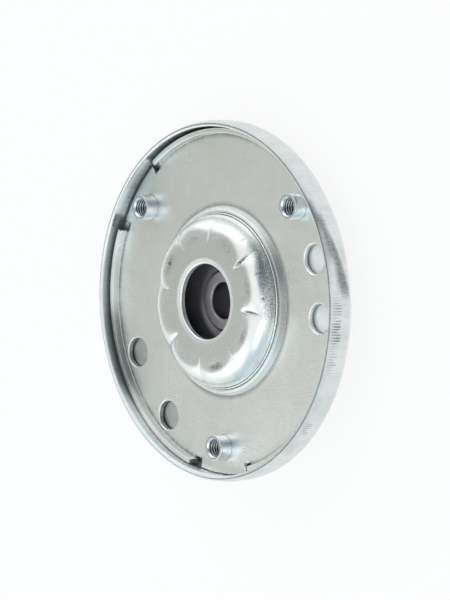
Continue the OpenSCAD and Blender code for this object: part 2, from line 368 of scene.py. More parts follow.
PLATE_ZINC = zinc_sheet("satin_zinc_sheet", "#f4f6f2", "#dee0d9", rough=0.32, cloud_mm=22, grain_mm=0.7,
                        grain_depth=0.11, scatter=0.25)
RIM_ZINC = zinc_sheet("drawn_bright_zinc", "#f8fbfa", "#eaefed", rough=0.27, cloud_mm=6, grain_mm=0.5,
                      grain_depth=0.02, streak=(1, 1, 0.12), scatter=0.25, grime_and_shade_tint="#3a4647", metal=0.85)
BOSS_ZINC = zinc_sheet("turned_blue_zinc", "#e2e6e8", "#d0d6da", rough=0.26, cloud_mm=5, grain_mm=0.5,
                       grain_depth=0.01, scatter=0.1, grime_and_shade_tint="#38312d", dulled=False)
DOME_ZINC = zinc_sheet("crimped_bright_zinc", "#f6f8f5", "#e8ebe8", rough=0.25, cloud_mm=9, grain_mm=0.7,
                       grain_depth=0.045, scatter=0.7)
RUBBER = moulded_rubber()
STEEL = phosphated_steel()


# Pan: floor, rim and neck are one outline turned about the axis. Drawing has left a ragged step on the
# rim's outer wall, ticks above it, and a scuffed stripe that falls from the rim's edge across the wall on
# the right

PAN_COLUMNS = 900
RAGGED_Z = 17.0
RAGGED_STEP = 0.12
RIM_PRESSED_IN = 0.65

# Spans round the axis: where each begins, is full, starts to fade and has gone. The span of the closest
# columns is in radians, and those of the marks are in degrees

FINE_SPAN = (-1.5, -1.3, 0.6, 0.8)
PRESSED_SPAN = (205, 222, 262, 275)
TICK_SPAN = (-85, -60, -2, 4)
STRIPE_SPAN = (-4, 2, 28, 36)
SHADED_RIM_SPAN = (80, 105, 205, 222)
LEFT_FLOOR_SPAN = (180, 190, 235, 245)
PALE_WALL_SPAN = (200, 222, 268, 285)
PALE_EDGE_SPAN = (140, 170, 260, 290)

# Heights and radii between which marks come in, and the stripe's course

TICK_Z = (20.6, 19.8)
SHADED_RIM_Z = (20.8, 16.5)
PALE_WALL_Z = (16.5, 17.5)
PALE_EDGE_Z = (20.6, 21.2)
LEFT_FLOOR_R = (50, 53)
OUTER_FLOOR_R = (63.5, 66.5)
STRIPE_ANGLE = 3
STRIPE_SWEEP = 27
STRIPE_Z = 15.2
STRIPE_RISE = 6.5
STRIPE_HALF_W = 2.8
STRIPE_TAPER = 1.3


def pan_marks(r, z, angle, wall, ragged):
    """Wear, painted shade and dull patches of the pan, products of smooth steps in radius, height and angle.

    Worn are the ticks above the ragged line, the stripe, and a little of the whole outer wall, and a dark
    line runs along the rim's outer edge. The stripe's middle falls in a straight line as the angle goes
    down, and the stripe widens on the way. Painted shade darkens the rim's inside at the upper left, the
    floor past the lip, and the floor under the left holes. Dull are the rest of the floor, and the rim's edge
    and inside at the lower left.
    """
    degrees = np.degrees(angle)
    turn = degrees % 360
    ticks = smooth(-0.3, 0.8, ripple(angle, 4, 380, 480)) * smooth(-1.2, 0.6, ripple(angle, 6, 8, 40))
    ticks = ticks * (0.55 + 0.4 * smooth(-24, -12, degrees)) * band(degrees, *TICK_SPAN)
    streaks = (0.1 + ticks) * wall * smooth(-0.3, 0.3, z - ragged) * smooth(*TICK_Z, z)

    fall = np.clip((degrees - STRIPE_ANGLE) / STRIPE_SWEEP, -0.2, 1.2)
    middle = STRIPE_Z + STRIPE_RISE * fall
    half_width = STRIPE_HALF_W - STRIPE_TAPER * fall
    stripe = np.exp(-((z - middle) / half_width) ** 4) * wall * band(degrees, *STRIPE_SPAN)

    # Painted shade: the rim's inner wall at the upper left, in the recess between lip and rim
    past_lip = (r > LIP_IN_R) * (r < RIM_IN + 0.1) * (z > FLOOR_Z + 0.1)
    painted_rim_shade = past_lip * smooth(*SHADED_RIM_Z, z) * band(turn, *SHADED_RIM_SPAN)
    edge = np.exp(-((r - RIM_EDGE_OUT) ** 2 + (z - RIM_Z) ** 2) / 0.35 ** 2)

    # Painted shade: the floor seen past the lip and through the notches, and the floor under the left holes
    bottom = (np.abs(z - FLOOR_Z) < 0.1) * np.ones_like(angle)
    left = band(turn, *LEFT_FLOOR_SPAN)
    painted_floor_shade = bottom * np.maximum(smooth(*OUTER_FLOOR_R, r), 0.42 * smooth(*LEFT_FLOOR_R, r) * left)

    upper_rim = (r < RIM_EDGE_OUT + 0.1) * (r > RIM_EDGE_IN - 1)
    pale_edge = upper_rim * smooth(*PALE_EDGE_Z, z) * band(turn, *PALE_EDGE_SPAN)
    pale_wall = upper_rim * smooth(*PALE_WALL_Z, z) * band(turn, *PALE_WALL_SPAN)

    worn_or_painted = np.broadcast_arrays(streaks, 0.8 * stripe, 0.65 * painted_rim_shade, 0.9 * edge, painted_floor_shade, 0.2 * wall)
    dull = [bottom * (1 - left), 1.2 * pale_edge, 1.2 * pale_wall]
    return {"wear_or_painted_light": np.maximum.reduce(worn_or_painted), "dull": np.maximum.reduce(dull)}


def rear_pan():
    """Outline turned about the axis, with two small drops of its radius.

    The outer wall drops where z passes under the ragged line, and the rim's inner wall is pressed towards
    the lip at the lower left. The columns stand closer together on the right, where the ticks are.
    """
    profile = outline([
        (NECK_IN, NECK_Z, 0.25), (NECK_OUT, NECK_Z, 0.25), (NECK_OUT, FLOOR_Z, 0.4), (RIM_IN, FLOOR_Z, 2.4),
        (RIM_IN, RIM_LEAN_IN_Z, 6.0), (RIM_EDGE_IN, RIM_Z, 0.7), (RIM_EDGE_OUT, RIM_Z, 0.2),
        (RIM_R, RIM_LEAN_OUT_Z, 8.5), (RIM_R, PAN_REAR_Z, 4.8), (NECK_IN, PAN_REAR_Z, 2.0)],
        [0.5, 2, 1.8, 1.5, 0.5, 0.5, 0.3, 0.3, 4, 4])
    r, z = profile.T
    angle = crowded_turn(lambda a: 1 + 2.5 * band(a, *FINE_SPAN), PAN_COLUMNS)
    ragged = RAGGED_Z + 0.25 * ripple(angle, 14, 40, 190) + 0.2 * ripple(angle, 6, 3, 12)
    wall = smooth(RIM_EDGE_OUT - 0.2, RIM_EDGE_OUT + 0.2, r) * (z > PAN_REAR_Z + 3)
    inner_wall = (r < RIM_IN + 0.1) * (r > RIM_EDGE_IN) * smooth(FLOOR_Z + 1.5, FLOOR_Z + 3, z)
    step = RAGGED_STEP * smooth(-0.5, 0.5, ragged - z) * wall
    pressed = RIM_PRESSED_IN * inner_wall * band(np.degrees(angle) % 360, *PRESSED_SPAN)
    grid = turned(r - step - pressed, z, angle)
    return piece("rimmed_pan", grid, [ring_faces(*grid.shape[:2])], "rear_pan", RIM_ZINC,
                 pan_marks(r, z, angle, wall, ragged))


# Front plate: a flat blank cut to its outline, whose lip and collar are then bent up

LIP_START = LIP_IN_R - LIP_BEND
LIP_ARC = (LIP_BEND + PLATE_T / 2) * math.pi / 2
LIP_END = LIP_START + LIP_ARC + LIP_H - LIP_BEND
COLLAR_SLOPE = math.radians(62)
COLLAR_FOOT = 0.3
COLLAR_RUN = 2.2
COLLAR_ROUND = 1.1
COLLAR_LEVEL = 0.6
COLLAR_LENGTH = COLLAR_RUN + COLLAR_ROUND + COLLAR_LEVEL
COLLAR_END = COLLAR_START - COLLAR_LENGTH
SHEET_SWAY = 0.05

# Spans of marks on the lip, in degrees

PALE_LIP_SPANS = [(140, 150, 178, 186), (212, 222, 250, 256)]
STAINED_LIP_SPAN = (176, 186, 206, 214)


def collar_path(u):
    """Radius, rise and slope of the collar's face at a distance u along the sheet, inward from its foot.

    The slope turns up within the foot, stays for the run and turns level again within the rounding. Radius
    and rise are the sums of its cosine and sine, and the rise is scaled to the collar's height.
    """
    t = np.linspace(0, COLLAR_LENGTH, 600)
    slope = COLLAR_SLOPE * (smooth(0, COLLAR_FOOT, t) - smooth(COLLAR_RUN, COLLAR_RUN + COLLAR_ROUND, t))
    step = t[1] - t[0]
    radius = COLLAR_START - (np.cumsum(np.cos(slope)) - 1) * step
    rise = np.cumsum(np.sin(slope)) * step
    return np.interp(u, t, radius), np.interp(u, t, rise * COLLAR_H / rise[-1]), np.interp(u, t, slope)


def boss_turn(angle):
    """Angle from the nearest boss, between minus and plus half a turn."""
    away = (angle[..., None] - BOSS_ANGLES + math.pi) % TAU - math.pi
    return np.take_along_axis(away, np.abs(away).argmin(-1)[..., None], -1)[..., 0]


def beside_bosses(angle):
    """Whether an angle lies past the relief notches, where the plate's edge is a lip and no tongue."""
    return np.abs(boss_turn(angle)) > NOTCH_ANGLE


def in_notch(p, angle, margin):
    """Whether a point of the blank lies in a relief notch or within a margin of one."""
    offs = [np.abs(p * np.sin(boss_turn(angle) - side * NOTCH_ANGLE)) for side in (-1, 1)]
    return (np.minimum(*offs) <= NOTCH_HALF_W + margin) & (p >= NOTCH_END - NOTCH_HALF_W - margin)


def bent(p, angle, depth):
    """Bends the blank: a point at radius p and a depth from 0 on the face to 1 on the rear goes to its place.

    The flat part stays level, but for a slight sway. Past the lip's start the point runs up an arc of
    radius bend plus depth, then straight up, except on the tongues outside the bosses, which stay flat.
    Inside the collar's start it follows the collar's path, its depth under it along its normal, and the
    sheet thins towards the collar's edge.
    """
    out = np.where(beside_bosses(angle), p - LIP_START, 0)
    a = np.clip(out / LIP_ARC, 0, 1) * math.pi / 2
    collar = p < COLLAR_START
    inner_r, inner_rise, slope = collar_path(np.maximum(COLLAR_START - p, 0))
    d = depth * (PLATE_T + (COLLAR_EDGE_T - PLATE_T) * smooth(COLLAR_START + 1, COLLAR_END, p))
    lip = LIP_BEND + d
    r = np.where(a > 0, LIP_START + lip * np.sin(a), np.where(collar, inner_r - d * np.sin(slope), p))
    rise = np.where(a > 0, LIP_BEND - lip * np.cos(a), np.where(collar, inner_rise - d * np.cos(slope), -d))
    rise = rise + np.maximum(out - LIP_ARC, 0)
    sway = SHEET_SWAY * np.sin(3 * angle + p / 9) * np.sin((p - 40) / 27 * math.pi) * (a == 0) * ~collar
    return turned(r, PLATE_Z + rise + sway, angle)


def arc_points(middle, radius, start, end, step):
    """Points on an arc about a middle, from one angle to another, about step apart."""
    t = np.linspace(start, end, max(6, round(abs(end - start) * radius / step)))[:, None]
    return middle + radius * np.hstack([np.cos(t), np.sin(t)])


def notch_points(angle, inner, outer):
    """Side of a relief notch inward from radius inner, round its end, and out to radius outer."""
    along = np.array([math.cos(angle), math.sin(angle)])
    across = np.array([-math.sin(angle), math.cos(angle)])
    sides = [math.sqrt(r * r - NOTCH_HALF_W ** 2) for r in (inner, outer)]
    t = np.append(0, np.linspace(0.3, 1, 9)[:-1])[:, None]
    way_in = (sides[0] + (NOTCH_END - sides[0]) * t) * along - NOTCH_HALF_W * across
    way_out = (sides[1] + (NOTCH_END - sides[1]) * t[::-1]) * along + NOTCH_HALF_W * across
    end = arc_points(NOTCH_END * along, NOTCH_HALF_W, angle - math.pi / 2, angle - 3 * math.pi / 2, 0.35)
    return np.vstack([way_in, end, way_out])


def plate_rim():
    """Outer outline of the blank: lip arcs, and at each boss a notch, the tongue's arc and a second notch."""
    step = 0.7
    lip_gap, tongue_gap = math.asin(NOTCH_HALF_W / LIP_END), math.asin(NOTCH_HALF_W / TONGUE_R)
    path = []
    for boss, following in zip(BOSS_ANGLES, np.roll(BOSS_ANGLES, -1)):
        sweep = (following - boss) % TAU - 2 * NOTCH_ANGLE
        tongue = [boss - NOTCH_ANGLE + tongue_gap, boss + NOTCH_ANGLE - tongue_gap]
        lip = boss + NOTCH_ANGLE + lip_gap
        path += [
            notch_points(boss - NOTCH_ANGLE, LIP_END, TONGUE_R),
            arc_points(np.zeros(2), TONGUE_R, *tongue, step)[1:-1],
            notch_points(boss + NOTCH_ANGLE, TONGUE_R, LIP_END),
            arc_points(np.zeros(2), LIP_END, lip, lip + sweep - 2 * lip_gap, step)[1:-1]]
    return np.vstack(path)


def plate_loops():
    """Outlines of the blank, each with the rounding of its edge on the face and on the rear.

    The rim comes first and runs anticlockwise. The openings run clockwise: the middle, the holes and the
    bosses' seats.
    """
    loops = [(plate_rim(), 0.4, 0.3)]
    openings = [(np.zeros(2), COLLAR_END, 0.5, 0.25, 0.15)]
    for circle, turn in LEFT_HOLES + RIGHT_HOLES:
        openings.append((polar(circle, math.radians(turn)), HOLE_R, 0.45, 0.7, 0.2))
    for turn in BOSS_ANGLES:
        openings.append((polar(BOSS_CIRCLE, turn), BOSS_R + BOSS_FIT, 0.45, 0.15, 0.2))
    for middle, radius, step, top, low in openings:
        loops.append((arc_points(middle, radius, TAU, 0, step)[:-1], top, low))
    return loops


def plate_fill(loops):
    """Points inside the blank, on rings about the axis, that stand clear of its outlines."""
    rows = np.concatenate([
        np.linspace(COLLAR_END, COLLAR_START, 30)[5:], np.linspace(COLLAR_START, LIP_START, 16)[1:-1],
        np.linspace(LIP_START, LIP_END, 16)[:-2]])
    turn = np.linspace(0, TAU, 480, endpoint=False)
    p, angle = (g.ravel() for g in np.meshgrid(rows, turn))
    fill = np.stack([p * np.cos(angle), p * np.sin(angle)], -1)
    keep = (beside_bosses(angle) | (p < TONGUE_R - 1.4)) & ~in_notch(p, angle, 0.7)
    for loop, *_ in loops[2:]:
        middle = loop.mean(0)
        keep &= np.linalg.norm(fill - middle, axis=1) > np.linalg.norm(loop[0] - middle) + 1.3
    return fill[keep]


def inset(loop, distance):
    """Moves a loop into the sheet, which lies on its left, by distance along its mitred normals."""
    ahead = np.roll(loop, -1, 0) - loop
    ahead /= np.linalg.norm(ahead, axis=1)[:, None]
    left = np.stack([-ahead[:, 1], ahead[:, 0]], -1)
    mitre = left + np.roll(left, 1, 0)
    return loop + distance * 2 * mitre / np.maximum(np.einsum("ij,ij->i", mitre, mitre), 0.6)[:, None]


def blank_face(outlines, fill):
    """Points and triangles of one face of the blank, inside its rim and outside its round openings."""
    edges, count = [], 0
    for loop in outlines:
        n = np.arange(len(loop))
        edges += list(zip((n + count).tolist(), ((n + 1) % len(loop) + count).tolist()))
        count += len(loop)
    flat = np.vstack(outlines + [fill])
    found = delaunay_2d_cdt([Vector(v) for v in flat.tolist()], edges, [], 1, 1e-6)
    if len(found[0]) != len(flat):
        raise ValueError("the blank's outlines cross each other")
    sheet = np.array([list(v) for v in found[0]])
    triangles = np.array(found[2])
    centre = sheet[triangles].mean(1)
    for opening in outlines[1:]:
        middle = opening.mean(0)
        outside = np.linalg.norm(centre - middle, axis=1) > np.linalg.norm(opening[0] - middle)
        triangles, centre = triangles[outside], centre[outside]
    return sheet, triangles


def plate_marks(blank, p, angle, height):
    """Stain, painted shade and dull patches of the plate: steps and bell curves in radius, angle and height.

    A stain lies on the lip at the left. Painted shade darkens the lip's foot and the plate just inside it,
    the collar's foot and its right side, the hole walls and the notches. In the right holes only the wall's
    lower edge is shaded. Dull are the lip's pale stretches and the collar, away from the right.
    """
    turn = np.degrees(angle) % 360
    lip, collar = beside_bosses(angle), p < COLLAR_START
    # Painted shade along the lip's foot, and fainter on the plate just inside it
    painted_lip_foot_shade = 0.75 * bell(p, LIP_START + 0.1, 0.25)
    painted_lip_foot_shade += 0.2 * smooth(LIP_START - 3, LIP_START, p) * (p < LIP_START)
    stain = band(turn, *STAINED_LIP_SPAN) * (p > LIP_START + LIP_ARC)
    # Painted shade on the collar's right side, which is also left glossy there
    right_side = smooth(45, 15, np.abs((turn + 180) % 360 - 180))
    # Painted shade on the hole walls; in the right holes only at the wall's lower edge
    low_edge = smooth(PLATE_Z - 1.1, PLATE_Z - 1.5, height)
    painted_hole_shade = np.zeros(len(p))
    for holes, shade in ((LEFT_HOLES, 0.6), (RIGHT_HOLES, 0.9 * low_edge)):
        for circle, place in holes:
            away = np.linalg.norm(blank - polar(circle, math.radians(place)), axis=1)
            painted_hole_shade += shade * smooth(HOLE_R + 0.3, HOLE_R + 0.1, away)
    # The collar's foot and the notch edges get painted shade too; the lip's stain is a real mark
    worn_or_painted = [painted_lip_foot_shade * lip, 0.55 * stain * lip, 0.7 * bell(p, COLLAR_START, 0.3), 0.55 * right_side * collar,
            painted_hole_shade, 0.95 * in_notch(p, angle, 0.15)]
    pale = sum(band(turn, *span) for span in PALE_LIP_SPANS) * lip * (p > LIP_START)
    return {"wear_or_painted_light": np.maximum.reduce(worn_or_painted), "dull": np.where(collar, 0.9 * (1 - right_side), 1.4 * pale)}


def front_plate():
    """Blank triangulated inside its outlines on both faces, joined by rows that round every edge, then bent.

    A row of an edge lies at depth e (1 - cos t) and inset e (1 - sin t) for t from 0 to 90 degrees.
    """
    loops = plate_loops()
    fill = plate_fill(loops)
    front, front_faces = blank_face([inset(loop, top) for loop, top, low in loops], fill)
    rear, rear_faces = blank_face([inset(loop, low) for loop, top, low in loops], fill)
    blanks = [front, rear]
    depths = [np.zeros(len(front)), np.ones(len(rear))]
    faces = [front_faces, rear_faces[:, ::-1] + len(front)]
    t = np.linspace(0, math.pi / 2, 6)
    first, start = 0, len(front) + len(rear)
    for loop, top, low in loops:
        deep = np.concatenate([top * (1 - np.cos(t[1:])), PLATE_T - low * (1 - np.sin(t[:-1]))]) / PLATE_T
        back = np.concatenate([top * (1 - np.sin(t[1:])), low * (1 - np.cos(t[:-1]))])
        n = np.arange(len(loop))
        lines = [n + first]
        for depth, distance in zip(deep, back):
            blanks.append(inset(loop, distance))
            depths.append(np.full(len(loop), depth))
            lines.append(n + start)
            start += len(loop)
        lines.append(n + first + len(front))
        for above, below in zip(lines, lines[1:]):
            faces.append(np.stack([above, below, np.roll(below, -1), np.roll(above, -1)], -1))
        first += len(loop)
    blank = np.vstack(blanks)
    p, angle = np.hypot(blank[:, 0], blank[:, 1]), np.arctan2(blank[:, 1], blank[:, 0])
    points = bent(p, angle, np.concatenate(depths))
    return piece("lipped_plate", points, faces, "front_plate", PLATE_ZINC,
                 plate_marks(blank, p, angle, points[:, 2]))


# Threaded bosses: outline turned about each boss's own axis, with a helix cut into the bore

BOSS_COLUMNS = 96
THREAD_TOP = BOSS_TOP - 0.65
THREAD_LOW = BOSS_LOW + 0.3
STEPS_PER_PITCH = 9


def threaded_bosses():
    """Bore radius = crest + depth of a rounded wave of z / pitch - angle / turn, faded out at both ends.

    The dark tint of its wear attribute is oil in the thread's grooves.
    """
    bore_z = np.arange(THREAD_TOP, THREAD_LOW, -THREAD_PITCH / STEPS_PER_PITCH)
    bore = np.stack([np.full(len(bore_z), THREAD_CREST), bore_z], -1)
    wall = outline([
        (THREAD_CREST, BOSS_LOW, 0.1), (BOSS_FLANGE_R, BOSS_LOW, 0.2), (BOSS_FLANGE_R, BOSS_FLANGE_Z, 0.2),
        (BOSS_R, BOSS_FLANGE_Z, 0.1), (BOSS_R, BOSS_TOP, 0.35), (THREAD_CREST + BOSS_CHAMFER, BOSS_TOP, 0.12),
        (THREAD_CREST, BOSS_TOP - BOSS_CHAMFER, 0.1)], 0.6)
    wall = wall[(wall[:, 0] > THREAD_CREST + 0.001) | (wall[:, 1] > bore_z[0]) | (wall[:, 1] < bore_z[-1])]
    r, z = np.vstack([bore, wall]).T
    angle = even_turn(BOSS_COLUMNS)
    wave = np.abs(((z / THREAD_PITCH - angle / TAU) % 1) - 0.5) * 2
    in_bore = np.arange(len(r)) < len(bore)
    ends = smooth(THREAD_TOP, THREAD_TOP - 0.45, z) * smooth(THREAD_LOW, THREAD_LOW + 0.7, z)
    cut = THREAD_DEPTH * smooth(0.15, 0.85, wave) * ends * in_bore
    grid = turned(r + cut, z, angle)
    points, faces = [], []
    for turn in BOSS_ANGLES:
        c, s = math.cos(turn), math.sin(turn)
        moved = grid @ np.array([[c, s, 0], [-s, c, 0], [0, 0, 1]])
        points.append((moved + BOSS_CIRCLE * np.array([c, s, 0])).reshape(-1, 3))
        faces.append(ring_faces(*grid.shape[:2], start=len(faces) * grid.shape[0] * grid.shape[1]))
    oil = 0.95 * smooth(0.2, 0.6, wave) * in_bore
    return piece("threaded_bosses", np.vstack(points), faces, "weld_nuts", BOSS_ZINC,
                 {"wear_or_painted_light": np.tile(oil.ravel(), len(BOSS_ANGLES))})


# Can: its wall is folded inward over the bush by eight jaws, which leaves a dome with a pinched crease
# between each two lobes. Each crease has its angle, how far it draws the flat in, its depth, and the step
# of one side over the other. Each nick has its angle in degrees, its radius and its depth

CREASES = np.radians([34, 81, 120, 165, 214.5, 257.5, 304, 348.75])
CREASE_REACH = np.array([2.6, 1.6, 2.0, 3.2, 3.6, 2.0, 1.2, 2.8])
CREASE_DEPTH = np.array([0.5, 0.12, 0.12, 0.25, 0.6, 0.14, 0.12, 0.5])
CREASE_STEP = np.array([0.4, 0.1, -0.1, 0.1, 0.3, -0.12, 0.1, -0.45])
CREASE_HALF_W = 3.6
PINCH_W = 0.55
STEP_SHARPNESS = 0.15
STEP_FADE = 2.6
COINED_W = 2.4
COINED_SLOPE = 0.12
NICKS = [(45.9, 32.6, 0.3), (18.0, 32.4, 0.25), (0.3, 32.8, 0.3), (123.0, 29.6, 0.25), (51.6, 25.3, 0.12)]
NICK_LENGTH = 0.9
NICK_W = 0.3
DOME_COLUMNS = 480
DOME_ROWS = 110
RAY_R = 23.5
RAY_Z = 16.8
JAW_MARK_R = 26.6
JAW_MARK_W = 1.7
JAW_MARK_REACH = 0.42
JAW_MARK_DEPTH = 0.12
CREASE_SHADE_W = 0.35
CREASE_SHADE_R = (23, 26, 29, 33)
SHADED_FOOT_R = (31.5, 33.5)
SHOULDER_R = (24, 29)

# Spans of marks on the dome, in degrees

SHADED_FOOT_SPAN = (-22, -8, 30, 48)
GLOSSY_SPAN = (-30, -10, 50, 75)


def between_creases(angle):
    """Number of the crease next to an angle, the angle from it, and the place across a lobe from -1 to 1."""
    turn = (angle - CREASES[-1]) % TAU
    ends = np.append(0, (CREASES - CREASES[-1]) % TAU)
    ends[-1] = TAU
    lobe = np.clip(np.searchsorted(ends, turn, "right") - 1, 0, len(CREASES) - 1)
    low, high = ends[lobe], ends[lobe + 1]
    after = turn - low < high - turn
    number = np.where(after, (lobe - 1) % len(CREASES), lobe)
    return number, np.where(after, turn - low, turn - high), (2 * turn - low - high) / (high - low)


def nick(r, angle, turn, at):
    """Mark of a jaw's corner, 1 in its middle: a sharp line along the radius that fades towards both ends."""
    side = ((angle - math.radians(turn) + math.pi) % TAU - math.pi) * r
    return bell(r, at, NICK_LENGTH) * np.exp(-np.abs(side) / NICK_W)


def dome_height(r, angle):
    """Height of the dome over the point at radius r.

    The flat top ends in lobes: its radius is least at each crease and rises beside it like a bell turned
    over. From there to the wall the shoulder is a quarter of an ellipse. At a crease the sheet is pinched
    into a sharp groove that falls off exponentially, and one side rides over the other by a step that fades
    with distance. The jaws' corners have left a few nicks, and the edge of the hole is coined down by a low
    cone.
    """
    number, away, across = between_creases(angle)
    drawn_in = CREASE_REACH[number] * np.exp(-(np.abs(away) * DOME_FLAT_R / CREASE_HALF_W) ** 1.6)
    flat = DOME_FLAT_R - DOME_FLAT_CROWN * across ** 2 - drawn_in
    x = np.clip((r - flat) / (CAN_R - flat), 0, 1)
    shoulder = DOME_Z - DOME_DROP * (1 - np.sqrt(1 - x * x))
    side = away * r
    near = band(r, flat - 2.5, flat + 1.5, flat + 3.0, flat + 8.5)
    pinch = CREASE_DEPTH[number] * np.exp(-np.abs(side) / PINCH_W)
    step = CREASE_STEP[number] * np.tanh(side / STEP_SHARPNESS) * np.exp(-np.abs(side) / STEP_FADE)
    coined = COINED_SLOPE * np.maximum(DOME_HOLE_R + COINED_W - r, 0)
    nicks = sum(depth * nick(r, angle, turn, at) for turn, at, depth in NICKS)
    return shoulder - (pinch - step) * near - coined - nicks


def dome_surface(angle):
    """Radius and height of the dome's points at each angle, in a row from the hole's edge out to the wall.

    Each point lies on a ray from a ring inside the can's wall, and bisection finds where the ray leaves the
    can.
    """
    longest_ray, halvings = 20.0, 40
    swing = np.linspace(math.atan2(DOME_HOLE_R + 1.0 - RAY_R, DOME_Z - RAY_Z), math.pi / 2, DOME_ROWS)
    near = np.zeros((len(angle), DOME_ROWS))
    far = np.full_like(near, longest_ray)
    for _ in range(halvings):
        middle = (near + far) / 2
        r, z = RAY_R + middle * np.sin(swing), RAY_Z + middle * np.cos(swing)
        within = (z < dome_height(r, angle)) & (r < CAN_R)
        near, far = np.where(within, middle, near), np.where(within, far, middle)
    return RAY_R + near * np.sin(swing), RAY_Z + near * np.cos(swing)


def can_outline():
    """Rest of the can's outline, from the wall under the dome round the base and up inside to the hole."""
    wall_in, base_in, inner_top = CAN_R - CAN_T, CAN_BASE_R - CAN_T, DOME_Z - CAN_T - 0.4
    whole = outline([
        (CAN_R, DOME_Z, 0.2), (CAN_R, PAN_REAR_Z, 0.3), (CAN_BASE_R, PAN_REAR_Z, 2.0), (CAN_BASE_R, 0, 4.0),
        (CAN_OPENING_R, 0, 1.0), (CAN_OPENING_R, CAN_T, 0.2), (base_in, CAN_T, 2.0),
        (base_in, PAN_REAR_Z - CAN_T, 1.0), (wall_in, PAN_REAR_Z - CAN_T, 0.3),
        (wall_in, inner_top - DOME_INNER_DROP, 3.0), (DOME_INNER_R, inner_top, 3.0),
        (DOME_HOLE_R, inner_top, 0.3), (DOME_HOLE_R, DOME_Z - 0.2, 0.7)], 4)
    start = np.flatnonzero((whole[:, 0] > CAN_R - 0.001) & (whole[:, 1] < RAY_Z - 0.2))[0]
    stop = np.flatnonzero((whole[:, 0] < DOME_HOLE_R + 0.9) & (whole[:, 1] > DOME_Z - 1.0))[-1]
    return np.roll(whole, -start, 0)[:(stop - start) % len(whole) + 1]


def crimped_can():
    """Dome of rays and the rest of the can's outline, turned, with columns crowded beside the creases.

    The jaws have left shallow rubbed marks on the outer edge of each lobe's flat, and dark lines in the
    nicks. Painted shade lies in the deeper creases and along the dome's foot on the right. The sheet is dull
    round the hole, and on the shoulder outside the glossy span.
    """
    angle = crowded_turn(lambda a: 1 + 5 * bell(between_creases(a)[1] * 28, 0, 1.4), DOME_COLUMNS)
    number, away, across = between_creases(angle)
    facing = np.degrees((angle + math.pi) % TAU - math.pi)
    r, z = dome_surface(angle)

    jaw_marks = bell(r, JAW_MARK_R, JAW_MARK_W) * bell(across, 0, JAW_MARK_REACH)
    jaw_marks = jaw_marks * (0.7 + 0.3 * ripple(angle, 5, 2, 9))
    # Painted shade in the creases, darker where a crease is deeper
    lines = np.exp(-np.abs(away * r) / CREASE_SHADE_W) * band(r, *CREASE_SHADE_R)
    lines = lines * np.clip(4 * CREASE_DEPTH[number] - 0.6, 0, 1.4)
    nicks = sum(nick(r, angle, turn, at) for turn, at, depth in NICKS)
    # Painted shade along the dome's foot on the right
    painted_foot_shade = smooth(*SHADED_FOOT_R, r) * band(facing, *SHADED_FOOT_SPAN)
    dome_wear_and_shade = np.clip(0.8 * jaw_marks + lines + 1.2 * nicks + 0.6 * painted_foot_shade, 0, 1)

    lower_r, lower_z = (np.tile(column, (DOME_COLUMNS, 1)) for column in can_outline().T)
    r = np.hstack([r, lower_r])
    z = np.hstack([z - JAW_MARK_DEPTH * jaw_marks, lower_z])
    round_hole = smooth(DOME_HOLE_R + 2.6, DOME_HOLE_R + 1.8, r)
    shoulder = smooth(*SHOULDER_R, r) * (1 - band(facing, *GLOSSY_SPAN))
    grid = turned(r, z, angle)
    marks = {"wear_or_painted_light": np.hstack([dome_wear_and_shade, np.zeros_like(lower_r)]),
             "dull": np.maximum(0.5 * round_hole, 0.35 * shoulder)}
    return piece("crimped_dome_can", grid, [ring_faces(*grid.shape[:2])], "crimped_can",
                 DOME_ZINC, marks)


# Bush and sleeve, each one outline turned about the axis

BUSH_COLUMNS = 240

# Angles in radians between which the bush's inner edge is painted lightest

LIT_LAND_SPAN = (2.9, 3.6, 5.2, 5.8)


def rubber_bush():
    """Outline of the bush turned about the axis, with the slot that holds the sleeve's flange.

    Its inner edge is painted lighter, a painted highlight where light falls on it, most at the lower left.
    """
    bore, slot = SLEEVE_R + BUSH_GAP, FLANGE_R + BUSH_GAP
    wide, narrow = CAN_BASE_R - CAN_T - BUSH_GAP, CAN_R - CAN_T - BUSH_GAP
    profile = outline([
        (bore, CAN_T, 0.5), (wide, CAN_T, 2.3), (wide, BUSH_STEP_Z, 1.5), (narrow, BUSH_STEP_Z, 0.2),
        (narrow, BUSH_OUTER_Z, 0.8), (BUSH_INNER_R, BUSH_INNER_Z, 1.5), (bore, BUSH_INNER_Z, 0.7),
        (bore, FLANGE_Z + FLANGE_T, 0.1), (slot, FLANGE_Z + FLANGE_T, 0.3), (slot, FLANGE_Z, 0.3),
        (bore, FLANGE_Z, 0.1)], 0.9)
    r, z = profile.T
    angle = even_turn(BUSH_COLUMNS)
    grid = turned(r, z, angle)
    painted_land_light = smooth(16.6, 14.8, r) * (z > BUSH_INNER_Z - 0.6) * (0.35 + 0.65 * band(angle, *LIT_LAND_SPAN))
    return piece("bonded_rubber_bush", grid, [ring_faces(*grid.shape[:2])], "rubber_bush",
                 RUBBER, {"wear_or_painted_light": painted_land_light})


